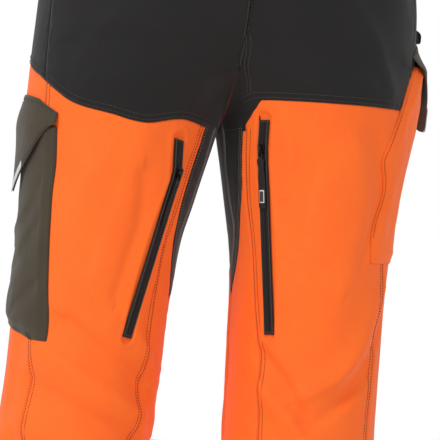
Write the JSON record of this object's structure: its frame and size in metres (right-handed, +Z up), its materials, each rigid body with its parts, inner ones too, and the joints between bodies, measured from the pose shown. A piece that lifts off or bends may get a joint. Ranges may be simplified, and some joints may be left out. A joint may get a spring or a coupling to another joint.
{
  "type": "chainsaw protective trousers",
  "caption": "Full chainsaw protective trousers with stretch seat, crotch gusset, rear thigh vent zips and flapped thigh pockets.",
  "frame": {"origin": "centre of the waist opening, level with the waistband's top edge", "axes": "+Z up, the wearer faces +Y, the wearer's right is +X"},
  "size_m": [0.4917, 0.2728, 1.08],
  "materials": {
    "orange_cloth": "woven, high visibility",
    "black_cloth": "woven stretch",
    "olive_cloth": "woven",
    "zip_tape": "ribbed tape",
    "zip_metal": "polished",
    "reflective_tape": "reflective",
    "mesh_cloth": "open mesh",
    "cut_pad_fibre": "layered fibre felt"
  },
  "bodies": {
    "trousers": {"belt_loop_back": "black_cloth", "belt_loop_front_left": "black_cloth", "belt_loop_front_right": "black_cloth", "belt_loop_side_left": "black_cloth", "belt_loop_side_right": "black_cloth", "cuff_left": "black_cloth", "cuff_right": "black_cloth", "cut_pad_left": "cut_pad_fibre", "cut_pad_right": "cut_pad_fibre", "fly_coil": "zip_tape", "fly_shield": "black_cloth", "fly_tape_left": "zip_tape", "fly_tape_right": "zip_tape", "front_left": "orange_cloth", "front_right": "orange_cloth", "gusset_left": "black_cloth", "gusset_right": "black_cloth", "hip_left": "black_cloth", "hip_right": "black_cloth", "hook_strip_left": "zip_tape", "hook_strip_right": "zip_tape", "inner_left": "orange_cloth", "inner_right": "orange_cloth", "knee_patch_left": "black_cloth", "knee_patch_right": "black_cloth", "pocket_left": "olive_cloth", "pocket_right": "orange_cloth", "rear_left": "orange_cloth", "rear_right": "orange_cloth", "seat_left": "black_cloth", "seat_right": "black_cloth", "vent_coil_left": "zip_tape", "vent_coil_right": "zip_tape", "vent_mesh_left": "mesh_cloth", "vent_mesh_right": "mesh_cloth", "vent_tape_inner_left": "zip_tape", "vent_tape_inner_right": "zip_tape", "vent_tape_outer_left": "zip_tape", "vent_tape_outer_right": "zip_tape", "waistband_left": "black_cloth", "waistband_right": "black_cloth", "webbing_loop": "zip_tape"},
    "vent_slider_left": {"vent_slider_left": "zip_metal"},
    "vent_slider_right": {"vent_slider_right": "zip_metal"},
    "vent_pull_left": {"vent_pull_left": "zip_metal", "vent_tab_left": "zip_tape"},
    "vent_pull_right": {"vent_pull_right": "zip_metal", "vent_tab_right": "zip_tape"},
    "pocket_flap_left": {"pocket_flap_left": "olive_cloth", "flap_trim_left": "reflective_tape"},
    "pocket_flap_right": {"pocket_flap_right": "olive_cloth", "flap_trim_right": "reflective_tape"},
    "fly_slider": {"fly_slider": "zip_metal"},
    "fly_pull": {"fly_pull": "zip_metal"},
    "waist_tab": {"waist_tab": "black_cloth", "snap_cap": "zip_metal"}
  },
  "joints": [
    {"name": "vent_slider_left_slide", "type": "slide", "parent": "trousers", "child": "vent_slider_left", "axis": [-0.2, -0.0107, -0.9797], "range_m": [0, 0.178]},
    {"name": "vent_slider_right_slide", "type": "slide", "parent": "trousers", "child": "vent_slider_right", "axis": [0.1449, 0.0342, -0.9889], "range_m": [0, 0.195]},
    {"name": "vent_pull_left_hinge", "type": "hinge", "parent": "vent_slider_left", "child": "vent_pull_left", "pos_m": [-0.05169, -0.08851, -0.34759], "axis": [-0.8359, -0.5197, 0.1764], "range_deg": [0, 150]},
    {"name": "vent_pull_right_hinge", "type": "hinge", "parent": "vent_slider_right", "child": "vent_pull_right", "pos_m": [0.03686, -0.08422, -0.31074], "axis": [-0.7326, 0.6754, -0.084], "range_deg": [0, 150]},
    {"name": "pocket_flap_left_hinge", "type": "hinge", "parent": "trousers", "child": "pocket_flap_left", "pos_m": [-0.2235, 0, -0.276], "axis": [0, 1, 0], "range_deg": [0, 100]},
    {"name": "pocket_flap_right_hinge", "type": "hinge", "parent": "trousers", "child": "pocket_flap_right", "pos_m": [0.21665, 0.02759, -0.168], "axis": [0.2332, -0.9724, 0], "range_deg": [0, 85]},
    {"name": "fly_slider_arc", "type": "hinge", "parent": "trousers", "child": "fly_slider", "pos_m": [0, -0.10542, -0.08543], "axis": [-1, 0, 0], "range_deg": [0, 34]},
    {"name": "fly_pull_hinge", "type": "hinge", "parent": "fly_slider", "child": "fly_pull", "pos_m": [0, 0.13223, -0.05831], "axis": [1, 0, 0], "range_deg": [0, 150]},
    {"name": "waist_tab_hinge", "type": "hinge", "parent": "trousers", "child": "waist_tab", "pos_m": [-0.038, 0.1235, -0.0225], "axis": [0, 0, 1], "range_deg": [0, 90]}
  ]
}
